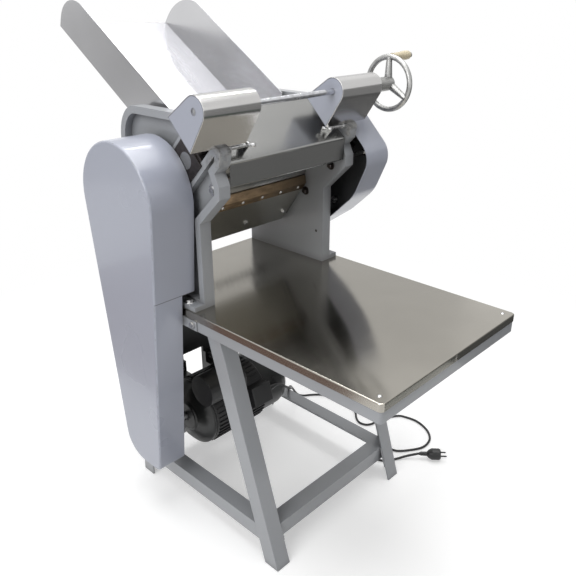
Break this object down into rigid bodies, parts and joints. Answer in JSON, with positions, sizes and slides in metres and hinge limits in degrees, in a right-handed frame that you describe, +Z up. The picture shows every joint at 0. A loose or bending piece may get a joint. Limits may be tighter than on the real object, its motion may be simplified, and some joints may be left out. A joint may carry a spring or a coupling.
{
  "type": "dough press",
  "caption": "Motor-driven dough press on an angle-iron stand: front table, geared rollers with a handwheel gap setting, rear feed chute, belt and gear guards, mains lead.",
  "frame": {"origin": "on the floor under the middle of the machine's box, measured without the mains lead and plug", "axes": "+Z up, -Y towards the table's front edge, +X towards the handwheel and the gear guard"},
  "size_m": [0.8835, 1.1937, 1.3365],
  "materials": {
    "paint": "light blue-grey gloss enamel",
    "stainless": "polished stainless sheet",
    "steel": "machined steel",
    "zinc": "zinc-plated fasteners",
    "brass": "dull brass",
    "motor_black": "black enamel",
    "motor_green": "grey-green enamel",
    "black_plastic": "black moulded plastic",
    "rubber": "black rubber",
    "alloy": "cast aluminium",
    "ivory": "ivory plastic"
  },
  "bodies": {
    "frame": {"leg_front_left": "paint", "leg_front_right": "paint", "leg_rear_left": "paint", "leg_rear_right": "paint", "stretchers": "paint", "table_rails": "paint", "table_top": "stainless", "table_screws": "zinc", "wall_left": "paint", "wall_right": "paint", "frame_bolts": "zinc", "tie_rods": "zinc", "roller_cover": "stainless", "cover_studs": "zinc", "scraper_blade": "brass", "scraper_screws": "zinc", "apron_plate": "stainless", "apron_brackets": "steel", "chute_floor": "stainless", "chute_wing_left": "stainless", "chute_wing_right": "stainless", "chute_spacers": "zinc", "motor_rails": "paint", "motor_feet": "motor_green", "motor_body": "motor_black", "motor_end_shield": "motor_green", "motor_fan_cover": "motor_green", "capacitor_housing": "black_plastic", "terminal_box": "black_plastic", "v_belts": "rubber", "shaft_bushes": "brass", "belt_guard": "paint", "belt_guard_clips": "paint", "gear_guard": "paint", "gear_guard_studs": "zinc", "housing_bases": "paint", "housing_plates": "paint", "housing_wraps": "stainless", "cord_gland": "black_plastic", "power_cord": "rubber", "plug": "black_plastic"},
    "fixed_roller": {"fixed_roller": "stainless", "drive_gear": "steel", "fixed_roller_gear": "steel"},
    "gap_carriage": {"bearing_blocks": "steel", "adjusting_screws": "zinc"},
    "adjustable_roller": {"adjustable_roller": "stainless", "adjustable_roller_gear": "steel"},
    "input_shaft": {"input_shaft": "steel", "input_pinion": "steel", "drive_pulley": "steel"},
    "motor_rotor": {"motor_rotor": "steel", "motor_pulley": "steel"},
    "handwheel": {"cross_shaft": "zinc", "bevel_pinions": "steel", "handwheel": "alloy", "handle_pin": "zinc"},
    "bevel_nut_left": {"bevel_nut_left": "brass"},
    "bevel_nut_right": {"bevel_nut_right": "brass"},
    "handle_grip": {"handle_grip": "ivory"}
  },
  "joints": [
    {"name": "fixed_roller_spin", "type": "hinge", "parent": "frame", "child": "fixed_roller", "pos_m": [-0.0395, 0.08758, 0.914], "axis": [1, 0, 0], "continuous": true},
    {"name": "gap_slide", "type": "slide", "parent": "frame", "child": "gap_carriage", "axis": [0, -0.7071, 0.7071], "range_m": [-0.003, 0.008]},
    {"name": "adjustable_roller_spin", "type": "hinge", "parent": "gap_carriage", "child": "adjustable_roller", "pos_m": [-0.0395, -0.00363, 1.00522], "axis": [1, 0, 0], "continuous": true},
    {"name": "input_shaft_spin", "type": "hinge", "parent": "frame", "child": "input_shaft", "pos_m": [-0.0395, 0.16675, 0.90245], "axis": [1, 0, 0], "continuous": true},
    {"name": "motor_spin", "type": "hinge", "parent": "frame", "child": "motor_rotor", "pos_m": [-0.0395, 0.12208, 0.24], "axis": [1, 0, 0], "continuous": true},
    {"name": "handwheel_turn", "type": "hinge", "parent": "frame", "child": "handwheel", "pos_m": [0.2605, -0.13162, 1.1332], "axis": [1, 0, 0], "range_deg": [-270, 720]},
    {"name": "bevel_nut_left_turn", "type": "hinge", "parent": "frame", "child": "bevel_nut_left", "pos_m": [-0.2555, -0.10334, 1.10492], "axis": [0, -0.7071, 0.7071], "range_deg": [-720, 270]},
    {"name": "bevel_nut_right_turn", "type": "hinge", "parent": "frame", "child": "bevel_nut_right", "pos_m": [0.1765, -0.10334, 1.10492], "axis": [0, -0.7071, 0.7071], "range_deg": [-720, 270]},
    {"name": "handle_grip_spin", "type": "hinge", "parent": "handwheel", "child": "handle_grip", "pos_m": [0.3505, -0.13162, 1.1992], "axis": [1, 0, 0], "continuous": true}
  ],
  "couplings": [
    {"joint": "adjustable_roller_spin", "follows": "fixed_roller_spin", "ratio": -1},
    {"joint": "input_shaft_spin", "follows": "fixed_roller_spin", "ratio": -3},
    {"joint": "motor_spin", "follows": "fixed_roller_spin", "ratio": -6.9252},
    {"joint": "handwheel_turn", "follows": "gap_slide", "rad_per_m": 1570.8},
    {"joint": "bevel_nut_left_turn", "follows": "gap_slide", "rad_per_m": -1570.8},
    {"joint": "bevel_nut_right_turn", "follows": "gap_slide", "rad_per_m": -1570.8}
  ]
}
